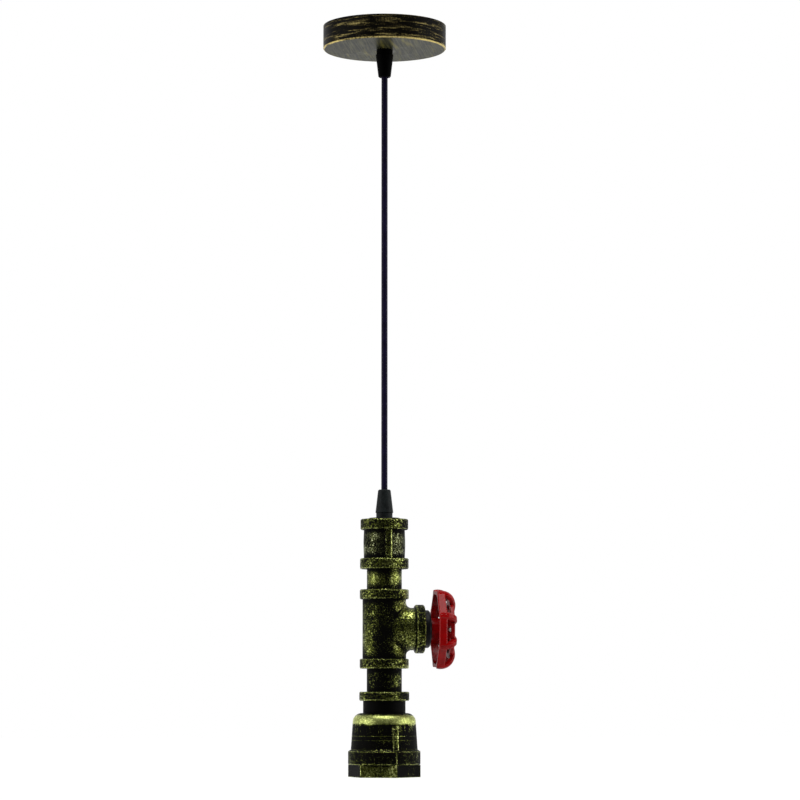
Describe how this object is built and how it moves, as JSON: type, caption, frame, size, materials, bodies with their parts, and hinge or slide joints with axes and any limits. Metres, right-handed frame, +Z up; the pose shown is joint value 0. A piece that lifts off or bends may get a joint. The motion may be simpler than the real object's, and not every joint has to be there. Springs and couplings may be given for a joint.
{
  "type": "pendant light",
  "caption": "Pipe-fitting pendant light on a round cord, with a ceiling canopy, a valve-wheel switch on a tee branch and a bell socket for one screw-base bulb.",
  "frame": {"origin": "centre of the ceiling plane that the bracket's feet and the canopy's rim meet", "axes": "+Z up into the ceiling, lamp hanging on the Z axis; +X along the tee's branch to the wheel"},
  "size_m": [0.1273, 0.12, 0.7302],
  "materials": {
    "canopy_finish": "antique brass brushed over black",
    "fitting_finish": "antique brass dry-brushed over black",
    "zinc_plate": "zinc plated",
    "brass": "plain",
    "black_nylon": "satin black",
    "black_flex": "glossy black",
    "black_bush": "satin black",
    "black_phenolic": "satin black",
    "white_plastic": "matt",
    "glazed_core": "glazed",
    "red_paint": "gloss red",
    "live_core": "brown",
    "neutral_core": "blue",
    "earth_core": "green and yellow"
  },
  "bodies": {
    "ceiling": {"ceiling_canopy": "canopy_finish", "mounting_bracket": "zinc_plate", "bracket_earth_screw": "brass", "ceiling_nipple": "zinc_plate", "ceiling_nuts": "zinc_plate", "terminal_block": "white_plastic", "terminal_sleeves": "brass", "terminal_screws": "zinc_plate", "ceiling_neutral_core": "neutral_core", "ceiling_earth_core": "earth_core", "ceiling_live_core": "live_core", "canopy_grip_base": "black_nylon", "canopy_grip_cap": "black_nylon", "cord_ceiling_tail": "black_flex"},
    "cord_neck": {"cord_neck": "black_flex"},
    "lamp": {"cord": "black_flex", "lamp_grip_cap": "black_nylon", "lamp_grip_base": "black_nylon", "cord_lamp_tail": "black_flex", "lamp_nipple": "zinc_plate", "top_plug": "black_bush", "lamp_earth_tag": "brass", "plug_nut": "zinc_plate", "coupling": "fitting_finish", "upper_pipe": "fitting_finish", "tee": "fitting_finish", "lower_pipe": "fitting_finish", "reducing_socket": "fitting_finish", "clamp_washer": "zinc_plate", "holder_nut": "zinc_plate", "holder_plate": "zinc_plate", "holder_nipple": "zinc_plate", "holder_cap": "black_phenolic", "holder_body": "black_phenolic", "holder_core": "glazed_core", "holder_screws": "brass", "screw_shell": "brass", "centre_contact": "brass", "switch_bush": "black_bush", "switch_body": "black_phenolic", "switch_nut": "zinc_plate", "switch_posts": "brass", "lamp_live_core": "live_core", "switched_core": "live_core", "lamp_neutral_core": "neutral_core", "lamp_earth_core": "earth_core"},
    "wheel": {"handwheel": "red_paint", "spindle": "zinc_plate", "wheel_washer": "zinc_plate", "wheel_nut": "zinc_plate"}
  },
  "joints": [
    {"name": "swing_sideways", "type": "hinge", "parent": "ceiling", "child": "cord_neck", "pos_m": [0, 0, -0.0489], "axis": [0, 1, 0], "range_deg": [-15, 15]},
    {"name": "swing_forwards", "type": "hinge", "parent": "cord_neck", "child": "lamp", "pos_m": [0, 0, -0.0489], "axis": [1, 0, 0], "range_deg": [-15, 15]},
    {"name": "wheel_turn", "type": "hinge", "parent": "lamp", "child": "wheel", "pos_m": [0.055, 0, -0.5887], "axis": [1, 0, 0], "range_deg": [0, 90]}
  ]
}
